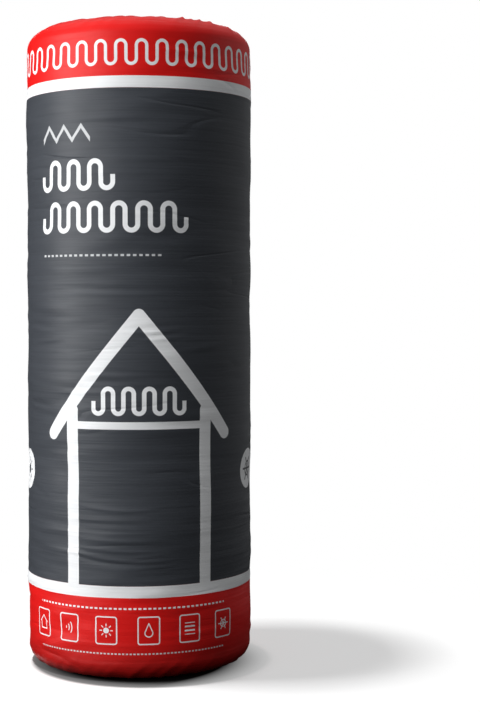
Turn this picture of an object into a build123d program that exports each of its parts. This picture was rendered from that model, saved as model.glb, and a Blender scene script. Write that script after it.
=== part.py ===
"""Glass wool insulation roll: a quilt wound on itself and held tight by a printed film sleeve.

The roll stands on its end. +Z runs up the roll's axis, and the origin is the middle of the base.
The turns of the quilt show on both ends, inside the openings that the gathered film leaves.
"""

import math
import os

from build123d import *

# The wound quilt, in millimetres
QUILT_WIDTH = 1140
ROLL_DIAMETER = 404
EYE_DIAMETER = 30
TURN_COUNT = 11

# The crease between two turns, where it shows on an end
CREASE_WIDTH = 6
CREASE_DEPTH = 4
HALF_TURN = 180
LEADING_ARC = 120

# The film sleeve
FILM_THICKNESS = 0.3
FILM_CLEARANCE = 0.3
TOP_SHOULDER_REACH = 50
TOP_SHOULDER_DROP = 35
BASE_SHOULDER_REACH = 34
BASE_SHOULDER_DROP = 31
SHOULDER_BEVELS = 3
END_OPENING_DIAMETER = 200
LAP_WIDTH = 50
LAP_END_MARGIN = 4

# The pleats that gather the film over the top end
PLEAT_COUNT = 28
PLEAT_WIDTH = 9
PLEAT_HEIGHT = 2.5
PLEAT_LEAN = 2.5
PLEAT_REACH_SHARE = 0.9
PLEAT_ROOT_SHARE = 0.5
PLEAT_TIP_SHARE = 0.25

CUT_OVERRUN = 1

# What follows from the sizes above
roll_radius = ROLL_DIAMETER / 2
eye_radius = EYE_DIAMETER / 2
opening_radius = END_OPENING_DIAMETER / 2
film_height = QUILT_WIDTH + 2 * FILM_THICKNESS
wool_base = FILM_THICKNESS
wool_top = wool_base + QUILT_WIDTH
wool_radius = roll_radius - FILM_THICKNESS - FILM_CLEARANCE
turn_pitch = (wool_radius - eye_radius) / TURN_COUNT
last_crease = int((opening_radius + turn_pitch - eye_radius) / turn_pitch)
top_flat_radius = roll_radius - TOP_SHOULDER_REACH
base_flat_radius = roll_radius - BASE_SHOULDER_REACH
top_shoulder_z = film_height - TOP_SHOULDER_DROP
base_shoulder_z = BASE_SHOULDER_DROP
pleat_tip_radius = opening_radius + (top_flat_radius - opening_radius) * PLEAT_REACH_SHARE

os.makedirs("parts", exist_ok=True)


def bevelled_shoulder(flat_radius, wall_z, reach, drop, end_way):
    """Draw a shoulder as equal steps round a quarter of an ellipse, joined by straight bevels.

    It runs from the wall at wall_z to the flat end. end_way is 1 for the top and -1 for the base.
    """
    steps = [math.pi / 2 * step / SHOULDER_BEVELS for step in range(SHOULDER_BEVELS + 1)]
    Polyline(
        *(
            (flat_radius + reach * math.cos(angle), wall_z + end_way * drop * math.sin(angle))
            for angle in steps
        )
    )


def inner_line(bore_radius, clearance):
    """Draw the line that the film's inner face and the wool share, from the base's bore up to the top's.

    The film is thicker behind the shoulders, where its gathered plies lie over each other. clearance is how far
    the line stays inside the film's wall.
    """
    inset = FILM_THICKNESS + clearance
    side = roll_radius - inset
    Line((bore_radius, wool_base), (base_flat_radius, wool_base))
    bevelled_shoulder(
        base_flat_radius,
        base_shoulder_z,
        BASE_SHOULDER_REACH - inset,
        base_shoulder_z - wool_base,
        -1,
    )
    Line((side, base_shoulder_z), (side, top_shoulder_z))
    bevelled_shoulder(
        top_flat_radius,
        top_shoulder_z,
        TOP_SHOULDER_REACH - inset,
        wool_top - top_shoulder_z,
        1,
    )
    Line((top_flat_radius, wool_top), (bore_radius, wool_top))


def outer_line():
    """Draw the film's outer face, from the opening in the base, round both shoulders, to the opening on top."""
    Line((opening_radius, 0), (base_flat_radius, 0))
    EllipticalCenterArc(
        (base_flat_radius, base_shoulder_z),
        BASE_SHOULDER_REACH,
        BASE_SHOULDER_DROP,
        start_angle=270,
        arc_size=90,
    )
    Line((roll_radius, base_shoulder_z), (roll_radius, top_shoulder_z))
    EllipticalCenterArc(
        (top_flat_radius, top_shoulder_z),
        TOP_SHOULDER_REACH,
        TOP_SHOULDER_DROP,
        start_angle=0,
        arc_size=90,
    )
    Line((top_flat_radius, film_height), (opening_radius, film_height))


def cut_crease(end_z, inward, centre_x, radius, turn_way, arc):
    """Cut one arc of the crease between two turns into the end at end_z.

    The arc starts on the +X side of its centre. turn_way is 1 for the back half and -1 for the front half,
    and inward is the direction along Z that goes into the wool.
    """
    middle = centre_x + radius
    half_width = CREASE_WIDTH / 2
    outside = end_z - inward * CUT_OVERRUN
    with BuildSketch(Plane.XZ) as section:
        with BuildLine():
            Polyline(
                (middle - half_width, outside),
                (middle - half_width, end_z),
                (middle, end_z + inward * CREASE_DEPTH),
                (middle + half_width, end_z),
                (middle + half_width, outside),
                close=True,
            )
        make_face()
    revolve(
        section.sketch.faces(),
        axis=Axis((centre_x, 0, 0), (0, 0, turn_way)),
        revolution_arc=arc,
        mode=Mode.SUBTRACT,
    )


# The quilt: one turned barrel with its eye. On each end a two-centre spiral shows the turns, as far as the
# film's lip: the back halves are struck from the roll's axis and the front halves from a point half a pitch
# to one side.
with BuildPart() as wool_roll:
    with BuildSketch(Plane.XZ):
        with BuildLine():
            inner_line(eye_radius, FILM_CLEARANCE)
            Line((eye_radius, wool_top), (eye_radius, wool_base))
        make_face()
    revolve(axis=Axis.Z)
    for end_z, inward in ((wool_base, 1), (wool_top, -1)):
        cut_crease(end_z, inward, turn_pitch / 2, eye_radius + turn_pitch / 2, -1, LEADING_ARC)
        for crease in range(1, last_crease + 1):
            back_radius = eye_radius + crease * turn_pitch
            cut_crease(end_z, inward, 0, back_radius, 1, HALF_TURN)
            if crease < last_crease:
                cut_crease(end_z, inward, turn_pitch / 2, back_radius + turn_pitch / 2, -1, HALF_TURN)

wool_roll.part.label = "wool_roll"
export_step(wool_roll.part, "parts/wool_roll.step")


# One pleat: a tuck of film that leans to one side and runs out towards the shoulder
with BuildPart() as pleat:
    for distance, size_share in (
        (opening_radius, 1),
        (pleat_tip_radius, PLEAT_TIP_SHARE),
    ):
        lip_plane = Plane(origin=(distance, 0, film_height), x_dir=(0, 1, 0), z_dir=(1, 0, 0))
        with BuildSketch(lip_plane):
            with BuildLine():
                Polyline(
                    (-PLEAT_WIDTH / 2 * size_share, -FILM_THICKNESS * PLEAT_ROOT_SHARE),
                    (PLEAT_WIDTH / 2 * size_share, -FILM_THICKNESS * PLEAT_ROOT_SHARE),
                    (PLEAT_LEAN * size_share, PLEAT_HEIGHT * size_share),
                    close=True,
                )
            make_face()
    loft(ruled=True)


# The film sleeve: a thin turned skin with a lip over each end, a lap down the back where its two edges
# are sealed, and pleats on the top lip. The base lip is pressed flat by the roll's weight.
with BuildPart() as film_sleeve:
    with BuildSketch(Plane.XZ):
        with BuildLine():
            outer_line()
            inner_line(opening_radius, 0)
            Line((opening_radius, 0), (opening_radius, wool_base))
            Line((opening_radius, film_height), (opening_radius, wool_top))
        make_face()
    revolve(axis=Axis.Z)
    with BuildSketch(Plane.XY.offset(base_shoulder_z + LAP_END_MARGIN)):
        Circle(roll_radius + FILM_THICKNESS)
        Circle(roll_radius - FILM_THICKNESS / 2, mode=Mode.SUBTRACT)
        with Locations((0, roll_radius)):
            Rectangle(LAP_WIDTH, roll_radius, mode=Mode.INTERSECT)
    extrude(amount=top_shoulder_z - base_shoulder_z - 2 * LAP_END_MARGIN)
    with PolarLocations(0, PLEAT_COUNT):
        add(pleat.part)

film_sleeve.part.label = "film_sleeve"
export_step(film_sleeve.part, "parts/film_sleeve.step")
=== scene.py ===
"""Dresses an insulation roll: a printed film sleeve drawn tight over a wound glass wool quilt.

Each surface is a function of two parameters, worked out on a whole grid with numpy, in metres, in the roll's
own frame: +Z runs up the axis, and the printed front faces -Y. An angle of zero is the middle of the front,
and angles grow towards +X. The film's print is drawn by its material from distances on the unrolled film.
"""

import math
from functools import reduce

import bpy
import numpy as np
from bpy.props import FloatProperty, FloatVectorProperty, IntProperty, PointerProperty
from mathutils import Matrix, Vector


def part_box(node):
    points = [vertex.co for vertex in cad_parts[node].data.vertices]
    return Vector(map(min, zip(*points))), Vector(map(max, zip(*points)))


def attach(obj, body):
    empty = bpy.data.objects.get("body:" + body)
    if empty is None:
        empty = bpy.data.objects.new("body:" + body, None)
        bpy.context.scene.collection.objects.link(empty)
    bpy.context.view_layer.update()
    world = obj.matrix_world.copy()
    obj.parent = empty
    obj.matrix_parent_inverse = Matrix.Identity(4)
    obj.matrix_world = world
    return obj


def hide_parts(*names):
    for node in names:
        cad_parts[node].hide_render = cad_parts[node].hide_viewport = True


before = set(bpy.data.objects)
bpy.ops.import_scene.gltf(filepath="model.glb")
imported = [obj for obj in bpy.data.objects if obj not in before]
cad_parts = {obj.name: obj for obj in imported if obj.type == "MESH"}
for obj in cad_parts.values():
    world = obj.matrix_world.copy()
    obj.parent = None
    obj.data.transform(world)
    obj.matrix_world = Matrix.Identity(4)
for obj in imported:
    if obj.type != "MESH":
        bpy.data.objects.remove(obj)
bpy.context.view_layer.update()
_, film_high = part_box("film_sleeve")
wool_low, wool_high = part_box("wool_roll")

bl_info = {
    "name": "Insulation roll",
    "version": (1, 0, 0),
    "blender": (4, 5, 0),
    "location": "View3D > Sidebar > Insulation roll",
    "description": "Makes a wound glass wool roll in a printed film sleeve, with its studio stage",
    "category": "Add Mesh",
}

TURN = 2.0 * math.pi
PRINT_MAP = "print"
BAKE_MAP = "OFBake"
LAY_MAP = "lay"


# Settings


def length_setting(name, description, default):
    """A setting in metres."""
    return FloatProperty(name=name, description=description, default=default, unit="LENGTH")


def power_setting(name, description, default):
    """A setting in watts."""
    return FloatProperty(name=name, description=description, default=default, subtype="POWER")


def colour_setting(name, description, default):
    """A setting that is a colour."""
    return FloatVectorProperty(name=name, description=description, default=default, subtype="COLOR")


class FilmSettings(bpy.types.PropertyGroup):
    """Sizes of the film sleeve."""

    radius: length_setting("Radius", "Outside radius of the film on the wall of the roll", film_high[0])
    height: length_setting(
        "Height",
        "Height of the film's flat top lip above the floor",
        wool_high[2] + wool_low[2],
    )
    opening: length_setting(
        "Opening radius",
        "Radius of the opening that the gathered film leaves on each end",
        0.1,
    )
    top_reach: length_setting("Top shoulder reach", "How far the top shoulder runs in from the wall", 0.05)
    top_drop: length_setting(
        "Top shoulder drop",
        "How far the top shoulder drops from the lip to the wall",
        0.035,
    )
    base_reach: length_setting(
        "Base shoulder reach",
        "How far the base shoulder runs in from the wall",
        0.034,
    )
    base_drop: length_setting(
        "Base shoulder drop",
        "How far the base shoulder rises from the lip to the wall",
        0.031,
    )
    thickness: length_setting("Film thickness", "Thickness of the film at the edge of its lips", 0.0003)
    lap: length_setting("Lap width", "How far the film's two edges lie over each other down the back", 0.05)
    bulge: length_setting("Bulge", "How far the wool pushes the wall of the film out evenly", 0.0009)
    lean: length_setting("Lean", "How much higher the top stands on the right than at the middle", 0.0018)
    swell: length_setting("Swell", "Height of the slow swellings where the wool pushes the film out", 0.0009)
    streaks: length_setting("Streaks", "Height of the fine wrinkles that run round the roll", 0.00046)
    creases: IntProperty(
        name="Creases",
        description="Number of short lens-shaped creases spread over the wall",
        default=190,
    )
    pleats: IntProperty(
        name="Pleats",
        description="Number of pleats that gather the film over each end",
        default=40,
    )
    pleat_height: length_setting("Pleat height", "Height of a pleat at the edge of the top opening", 0.0052)


class PrintSettings(bpy.types.PropertyGroup):
    """Colours of the print, and the heights of its stripes."""

    charcoal: colour_setting("Charcoal", "Colour of the middle panel", (0.0485, 0.054, 0.064))
    red: colour_setting("Red", "Colour of the bands at both ends", (0.71, 0.0062, 0.0052))
    white: colour_setting("White", "Colour of the stripes and line work", (0.84, 0.855, 0.87))
    low_stripe: length_setting("Low stripe", "Height of the lower edge of the lower white stripe", 0.1445)
    high_stripe: length_setting("High stripe", "Height of the lower edge of the upper white stripe", 1.0142)
    stripe: length_setting("Stripe width", "Width of a white stripe", 0.02)


class WoolSettings(bpy.types.PropertyGroup):
    """Sizes and colour of the wound quilt."""

    eye: length_setting("Eye radius", "Radius of the eye that the winding leaves at the middle", 0.015)
    turns: IntProperty(
        name="Turns",
        description="Number of turns of the quilt from the eye to the film",
        default=11,
    )
    puff: length_setting("Puff", "How far the wool swells out of the film's top opening", 0.005)
    crease: length_setting("Crease depth", "Depth of the crease between two turns", 0.0052)
    fibres: IntProperty(
        name="Loose fibres",
        description="Number of loose strands lying on the top end",
        default=1500,
    )
    colour: colour_setting("Colour", "Mean colour of the glass wool", (0.66, 0.47, 0.16))


class StageSettings(bpy.types.PropertyGroup):
    """Camera and light."""

    camera_place: FloatVectorProperty(
        name="Camera place",
        description="Where the camera stands",
        default=(0.184, -2.7555, 0.648),
        subtype="TRANSLATION",
        unit="LENGTH",
    )
    camera_pitch: FloatProperty(
        name="Camera pitch",
        description="How far the camera looks down",
        default=math.radians(1.99),
        subtype="ANGLE",
    )
    lens: FloatProperty(
        name="Lens",
        description="Focal length in millimetres on a 36 mm sensor",
        default=75.94,
    )
    side_power: power_setting("Side power", "Power of the large soft light on the left", 58.0)
    front_power: power_setting(
        "Front power",
        "Power of the soft light in front on the left, which the film's gloss doesn't show",
        59.0,
    )
    sheen_power: power_setting(
        "Sheen power",
        "Power of the soft light in front on the left that the film's gloss shows",
        18.0,
    )
    top_power: power_setting("Top power", "Power of the soft light overhead", 60.0)
    fill_power: power_setting("Fill power", "Power of the weak soft light on the right", 10.0)
    back_power: power_setting("Back power", "Power of the soft light behind", 40.0)
    shadow_power: power_setting(
        "Shadow power",
        "Power of the light overhead that reaches only the floor",
        330.0,
    )
    ambient: FloatProperty(
        name="Ambient",
        description="Strength of the even light from all around",
        default=0.16,
    )


# Shared formulas


def smooth(low, high, value):
    """Ramp from 0 at low to 1 at high with level ends: t * t * (3 - 2 t), with t clipped to 0..1."""
    t = np.clip((value - low) / (high - low), 0.0, 1.0)
    return t * t * (3.0 - 2.0 * t)


def at_least(least, share):
    """A share from 0 to 1, brought to between least and 1: least + (1 - least) * share."""
    return least + (1.0 - least) * share


def spread(rng, count, least, most, power=1):
    """Random values from least to most. A power above 1 makes most of them small."""
    return least + (most - least) * rng.random(count) ** power


def wrap(angle):
    """The same angle, brought to between minus and plus half a turn."""
    return (angle + math.pi) % TURN - math.pi


def place_at(radius, angle):
    """x and y at a radius and an angle: radius * sin(angle) and -radius * cos(angle)."""
    return radius * np.sin(angle), -radius * np.cos(angle)


def wave_sum(weights, turns):
    """Sum of the cosines of turns, each times its weight, scaled to a mean square of 1."""
    total = sum(weight * np.cos(turn) for weight, turn in zip(weights, turns))
    return total / math.sqrt((weights**2).sum() / 2.0)


def ripple(rng, angle, height, count, most_turns, shortest, longest, slope):
    """Sum of cosine waves cos(k * angle + TURN * height / length + phase) that closes round the roll.

    k is a whole number up to most_turns either way, lengths are spread evenly in their logarithm from
    shortest to longest, and a wave's weight is its length to the power slope.
    """
    cycles = rng.integers(-most_turns, most_turns + 1, count)
    lengths = shortest * (longest / shortest) ** rng.random(count)
    phases = rng.random(count) * TURN
    turns = (k * angle + TURN * height / length + phase for k, length, phase in zip(cycles, lengths, phases))
    return wave_sum((lengths / longest) ** slope, turns)


def scatter_waves(rng, x, y, count, shortest, longest):
    """Sum of plane cosine waves over x and y in random directions, the long ones with more weight."""
    lengths = shortest * (longest / shortest) ** rng.random(count)
    headings = rng.random(count) * TURN
    phases = rng.random(count) * TURN
    turns = (
        TURN / length * (x * math.cos(heading) + y * math.sin(heading)) + phase
        for length, heading, phase in zip(lengths, headings, phases)
    )
    return wave_sum(lengths / longest, turns)


def ring_mesh(name, points, maps):
    """Make a mesh from points of shape (rows, columns, 3) that closes on itself both ways.

    maps gives each UV map as rows + 1 by columns + 1 pairs, so that the last row and column have places of
    their own. A quad runs from (i, j) to (i, j + 1), (i + 1, j + 1) and (i + 1, j), which faces outwards
    where columns turn towards +X in front and rows rise outside.
    """
    rows, columns = points.shape[:2]
    i, j = np.meshgrid(np.arange(rows), np.arange(columns), indexing="ij")
    next_i, next_j = (i + 1) % rows, (j + 1) % columns
    corners = np.stack(
        [i * columns + j, i * columns + next_j, next_i * columns + next_j, next_i * columns + j],
        axis=-1,
    )
    mesh = bpy.data.meshes.new(name)
    mesh.vertices.add(rows * columns)
    mesh.vertices.foreach_set("co", points.reshape(-1).astype(np.float32))
    mesh.loops.add(corners.size)
    mesh.loops.foreach_set("vertex_index", corners.reshape(-1).astype(np.int32))
    mesh.polygons.add(rows * columns)
    mesh.polygons.foreach_set("loop_start", np.arange(0, corners.size, 4, dtype=np.int32))
    mesh.update(calc_edges=True)
    for map_name, places in maps.items():
        quads = np.stack(
            [places[:-1, :-1], places[:-1, 1:], places[1:, 1:], places[1:, :-1]],
            axis=2,
        )
        layer = mesh.uv_layers.new(name=map_name)
        layer.uv.foreach_set("vector", quads.reshape(-1).astype(np.float32))
    mesh.shade_smooth()
    return mesh


def link_object(name, data):
    """Put a new object with this data into the scene."""
    item = bpy.data.objects.new(name, data)
    bpy.context.scene.collection.objects.link(item)
    return item


def add_piece(name, mesh, material, slot_name, *nodes):
    """Link a mesh to the scene as a piece of the roll that rides on it and stands for the nodes given."""
    piece = link_object(name, mesh)
    mesh.materials.append(material)
    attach(piece, "root")
    if nodes:
        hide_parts(*nodes)
    return piece


# The film sleeve: the rows and columns of its grid

FILM_COLUMNS = 224
LAP_COLUMNS = 8
LAP_COLUMN_STEP = 0.0008
WALL_ROWS = 350
WALL_ROW_KNOTS = (0, 38, 126, 240, WALL_ROWS)
WALL_HEIGHT_KNOTS = (0.16, 0.34, 0.7)
SHOULDER_ROWS = 18
LIP_ROWS = 12
INNER_LIP_STEP = 3
INNER_WALL_STEP = 39
INNER_WALL_DEPTH = 0.006
INNER_WALL_FADE = 0.12
BAKE_OUTER_SHARE = 0.95
BAKE_GAP = 0.005

# Its swellings and streaks

FILM_SEED = 20
SWELL_WAVES = {"count": 26, "most_turns": 4, "shortest": 0.09, "longest": 0.6, "slope": 0.6}
PATCH_WAVES = {"count": 18, "most_turns": 5, "shortest": 0.08, "longest": 0.4, "slope": 0.3}
STREAK_WAVES = {"count": 90, "most_turns": 9, "shortest": 0.017, "longest": 0.1, "slope": 0.7}
PATCH_LEVELS = (-0.9, 1.3)
WALL_FADE = 0.03
LIP_SWELL_SHARE = 0.35
LIP_STREAK_SHARE = 0.3
LIP_UPRIGHT = 0.999

# The film is smoother on the right of the front, round this angle, and rougher below these heights
CALM_ANGLE = math.radians(49.0)
CALM_SPREAD = math.radians(36.0)
CALM_SHARE = 0.7
ROUGH_HEIGHTS = (0.17, 0.13)
ROUGH_GAIN = 2.0

# Its creases

CREASE_TIP_WIDTH = 0.45
CREASE_FADE_POWER = 1.5
TUCK_STEEPNESS = 1.6
CREASE_HALF_LENGTHS = (0.03, 0.12)
CREASE_HALF_WIDTHS = (0.0045, 0.0105)
CREASE_SLOPE = 0.035
CREASE_BEND = 0.35
CREASE_DEPTHS = (0.0002, 0.0008)

# The creases that show best on the front, as angle in degrees, height, half length, half width, slope, bend,
# depth and kind
FRONT_CREASES = (
    (-12.0, 0.958, 0.085, 0.0055, 0.01, 0.1, -0.0010, 1.0),
    (2.0, 0.897, 0.075, 0.0060, -0.03, 0.0, 0.0009, 1.0),
    (-3.0, 0.860, 0.090, 0.0060, 0.02, 0.2, -0.0008, 0.0),
    (-8.0, 0.668, 0.110, 0.0060, -0.02, 0.4, 0.0012, 1.0),
    (-35.0, 0.655, 0.080, 0.0060, 0.03, -0.3, -0.0009, 0.0),
    (9.0, 0.604, 0.060, 0.0055, 0.05, 0.6, 0.0015, 1.0),
    (15.0, 0.592, 0.050, 0.0050, 0.10, -0.4, 0.0013, 1.0),
    (-56.0, 0.606, 0.050, 0.0060, -0.06, 0.2, 0.0013, 1.0),
    (-50.0, 0.580, 0.060, 0.0055, 0.09, 0.0, -0.0010, 1.0),
    (34.0, 0.571, 0.060, 0.0055, 0.12, 0.0, 0.0011, 0.0),
    (-9.0, 0.529, 0.070, 0.0055, -0.02, 0.1, 0.0011, 1.0),
    (-13.0, 0.515, 0.060, 0.0050, -0.02, 0.1, -0.0011, 0.0),
    (-20.0, 0.500, 0.080, 0.0060, 0.01, 0.2, 0.0010, 1.0),
    (-58.0, 0.470, 0.060, 0.0065, -0.10, 0.0, 0.0012, 1.0),
    (-6.0, 0.294, 0.090, 0.0038, -0.02, 1.1, 0.0013, 0.0),
    (-11.0, 0.277, 0.085, 0.0040, -0.01, 0.3, 0.0009, 0.0),
    (-8.0, 0.264, 0.080, 0.0036, -0.02, 0.2, 0.0008, 0.0),
    (-10.0, 0.254, 0.080, 0.0036, 0.00, 0.3, 0.0008, 0.0),
    (-7.0, 0.242, 0.085, 0.0040, -0.02, 0.4, 0.0009, 0.0),
    (-9.0, 0.222, 0.085, 0.0046, -0.03, 0.5, -0.0013, 1.0),
    (-6.0, 0.205, 0.105, 0.0050, -0.07, 0.9, -0.0019, 1.0),
    (30.0, 0.118, 0.070, 0.0060, 0.08, 0.0, -0.0006, 1.0),
    (28.0, 0.082, 0.090, 0.0065, 0.05, 0.1, 0.0006, 1.0),
    (20.0, 1.083, 0.090, 0.0060, -0.05, 0.0, 0.0011, 1.0),
    (32.0, 1.066, 0.080, 0.0055, -0.07, 0.0, -0.0010, 0.0),
    (5.0, 1.096, 0.100, 0.0060, -0.03, 0.0, 0.0009, 1.0),
)

# Its pleats, its gathered edges and its lap

PLEAT_STRAY = 0.32
PLEAT_WIDTHS = (0.16, 0.34)
PLEAT_HEIGHTS = (0.35, 1.0)
PLEAT_STEEPNESS = 2.4
PLEAT_POWER = 1.3
TOP_PLEAT_START = 0.005
TOP_PLEAT_REACH = 0.06
TOP_TWIST = 0.5
TOP_TWIST_REACH = 0.1
BASE_PLEAT_START = 0.05
BASE_PLEAT_HEIGHT = 0.0022
BASE_TWIST = -0.2
LEAN_DEPTH = 0.2
EDGE_SEED = 77
EDGE_WAVES = {"count": 10, "most_turns": 7, "shortest": 1.0, "longest": 2.0, "slope": 0.0}
EDGE_WANDER = 0.0032
EDGE_NOTCH = 0.005
EDGE_SHIFT = 0.002
LAP_WAVES = {"count": 12, "most_turns": 1, "shortest": 0.03, "longest": 0.3, "slope": 0.5}
LAP_WANDER = 0.0006
LAP_STEP = 0.0009
LAP_EDGE = 0.0014


def film_profile(film):
    """Outline of the film from the base opening, round both shoulders, to the top opening.

    Returns radius, height and the two parts of the outward normal, one value for each row. The lips are
    level, the wall is upright, and a shoulder is a quarter of an ellipse: reach * cos(t), drop * sin(t).
    """
    base_flat = film.radius - film.base_reach
    top_flat = film.radius - film.top_reach
    wall_top = film.height - film.top_drop
    lip = np.linspace(0.0, 1.0, LIP_ROWS + 1)
    bend = np.linspace(0.0, math.pi / 2.0, SHOULDER_ROWS, endpoint=False)
    rise = bend - math.pi / 2.0
    wall = np.interp(np.arange(WALL_ROWS), WALL_ROW_KNOTS, (film.base_drop, *WALL_HEIGHT_KNOTS, wall_top))
    parts = (
        (film.opening + lip[:-1] * (base_flat - film.opening), 0.0, 0.0, -1.0),
        (
            base_flat + film.base_reach * np.cos(rise),
            film.base_drop * (1.0 + np.sin(rise)),
            np.cos(rise) / film.base_reach,
            np.sin(rise) / film.base_drop,
        ),
        (film.radius, wall, 1.0, 0.0),
        (
            top_flat + film.top_reach * np.cos(bend),
            wall_top + film.top_drop * np.sin(bend),
            np.cos(bend) / film.top_reach,
            np.sin(bend) / film.top_drop,
        ),
        (top_flat + lip * (film.opening - top_flat), film.height, 0.0, 1.0),
    )
    rows = [np.stack(np.broadcast_arrays(*part)) for part in parts]
    radius, height, across, upward = np.concatenate(rows, axis=1)
    size = np.hypot(across, upward)
    return radius, height, across / size, upward / size


def crease_relief(film, angle, height, places):
    """Relief of short creases, each along a line that is nearly level.

    places holds one row for each crease: angle and height of its middle, half length, half width, slope,
    bend, depth and kind. Across the crease, with d the distance from its bent line in half widths, the relief
    is a ridge exp(-d * d) where kind is 0 and a tuck -d * exp(-d * d), times its steepness, where kind is 1.
    It fades towards both ends and narrows with the fade.
    """
    relief = np.zeros(np.broadcast(angle, height).shape)
    for middle, level, half_length, half_width, slope, bend, depth, kind in places:
        along = film.radius * wrap(angle - middle)
        fade = np.clip(1.0 - (along / half_length) ** 2, 0.0, 1.0)
        width = half_width * at_least(CREASE_TIP_WIDTH, fade)
        d = (height - level - slope * along - bend * along**2) / width
        shape = np.exp(-d * d) * (1.0 - kind * (1.0 + TUCK_STEEPNESS * d))
        relief += depth * fade**CREASE_FADE_POWER * shape
    return relief


def scattered_creases(rng, film):
    """Random creases over the wall: most are shallow and short, and a few are long."""
    count = film.creases
    return np.column_stack(
        [
            rng.random(count) * TURN - math.pi,
            spread(rng, count, film.base_drop, film.height - film.top_drop),
            spread(rng, count, *CREASE_HALF_LENGTHS, power=2),
            spread(rng, count, *CREASE_HALF_WIDTHS),
            rng.normal(0.0, CREASE_SLOPE, count),
            rng.normal(0.0, CREASE_BEND, count),
            rng.choice([-1.0, 1.0], count) * spread(rng, count, *CREASE_DEPTHS, power=2),
            rng.choice([0.0, 1.0], count),
        ]
    )


def pleat_relief(rng, count, angle, twist):
    """Height from 0 to 1 of pleats spread unevenly round the roll.

    A pleat rises slowly on one side and drops quickly on the other: with d the angle from its crest in pleat
    widths, stretched on the falling side, it is exp(-|d|) with |d| to a power. twist swings the crests round
    row by row.
    """
    crests = (np.arange(count) + rng.uniform(-PLEAT_STRAY, PLEAT_STRAY, count)) * TURN / count
    widths = TURN / count * rng.uniform(*PLEAT_WIDTHS, count)
    heights = rng.uniform(*PLEAT_HEIGHTS, count)
    total = np.zeros(np.broadcast(angle, twist).shape)
    for crest, width, height in zip(crests, widths, heights):
        d = wrap(angle - crest - twist) / width
        away = np.where(d > 0.0, PLEAT_STEEPNESS * d, -d)
        total = np.maximum(total, height * np.exp(-(away**PLEAT_POWER)))
    return total


def film_relief(film, angle, upward, path):
    """Distance that the film stands out from its plain outline, over the whole grid.

    It adds slow swellings, fine streaks in patches, creases, pleats that grow from each shoulder to the lip,
    and the lap down the back. On the lips it never goes below the plain outline.
    """
    rng = np.random.default_rng(FILM_SEED)
    wall_top = film.height - film.top_drop
    on_wall = smooth(0.0, WALL_FADE, path - film.base_drop) * smooth(0.0, WALL_FADE, wall_top - path)
    swell = film.swell * ripple(rng, angle, path, **SWELL_WAVES)
    patches = smooth(*PATCH_LEVELS, ripple(rng, angle, path, **PATCH_WAVES))
    streaks = film.streaks * patches * ripple(rng, angle, path, **STREAK_WAVES)
    calm = 1.0 - CALM_SHARE * np.exp(-(((angle - CALM_ANGLE) / CALM_SPREAD) ** 2))
    streaks = streaks * calm * (1.0 + ROUGH_GAIN * smooth(*ROUGH_HEIGHTS, path))
    front = np.array(FRONT_CREASES)
    front[:, 0] = np.radians(front[:, 0])
    creases = calm * crease_relief(film, angle, path, scattered_creases(rng, film))
    creases = creases + crease_relief(film, angle, path, front)

    on_top = smooth(wall_top - TOP_PLEAT_START, film.height + TOP_PLEAT_REACH, path)
    top_twist = TOP_TWIST * smooth(wall_top, film.height + TOP_TWIST_REACH, path)
    top_pleats = film.pleat_height * on_top * pleat_relief(rng, film.pleats, angle, top_twist)
    on_base = smooth(BASE_PLEAT_START, 0.0, path)
    base_pleats = BASE_PLEAT_HEIGHT * on_base * pleat_relief(rng, film.pleats, angle, BASE_TWIST * on_base)

    back = film.radius * wrap(angle - math.pi)
    edge = film.lap / 2.0 + LAP_WANDER * ripple(rng, 0.0, path, **LAP_WAVES)
    lap = LAP_STEP * smooth(-film.lap, -film.lap / 2.0, back) * smooth(edge, edge - LAP_EDGE, back)

    relief = film.bulge * on_wall + swell * at_least(LIP_SWELL_SHARE, on_wall) + lap
    relief = relief + (streaks + creases) * at_least(LIP_STREAK_SHARE, on_wall) + top_pleats + base_pleats
    lip = np.abs(upward) > LIP_UPRIGHT
    return np.where(lip, np.maximum(relief, 0.0), relief)


def top_lean(film, angle, z):
    """Rise of the top towards the right: lean times the sine of the angle, fading out down the wall."""
    return film.lean * np.sin(angle) * smooth(film.height - LEAN_DEPTH, film.height, z)


def gathered_edge(film, angle):
    """How far the edge of an opening wanders from its circle: slow waves with a notch for each pleat."""
    rng = np.random.default_rng(EDGE_SEED)
    waves = EDGE_WANDER * ripple(rng, angle, 0.0, **EDGE_WAVES)
    return waves + EDGE_NOTCH * pleat_relief(rng, film.pleats, angle, 0.0) - EDGE_SHIFT


def film_angles(film):
    """Angles of the columns: even steps all round, and a few close ones across the edge of the lap."""
    even = np.linspace(-math.pi, math.pi, FILM_COLUMNS - LAP_COLUMNS, endpoint=False)
    across = (np.arange(LAP_COLUMNS) - LAP_COLUMNS / 2.0) * LAP_COLUMN_STEP
    return np.sort(np.concatenate([even, (film.lap / 2.0 + across) / film.radius - math.pi]))


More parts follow.
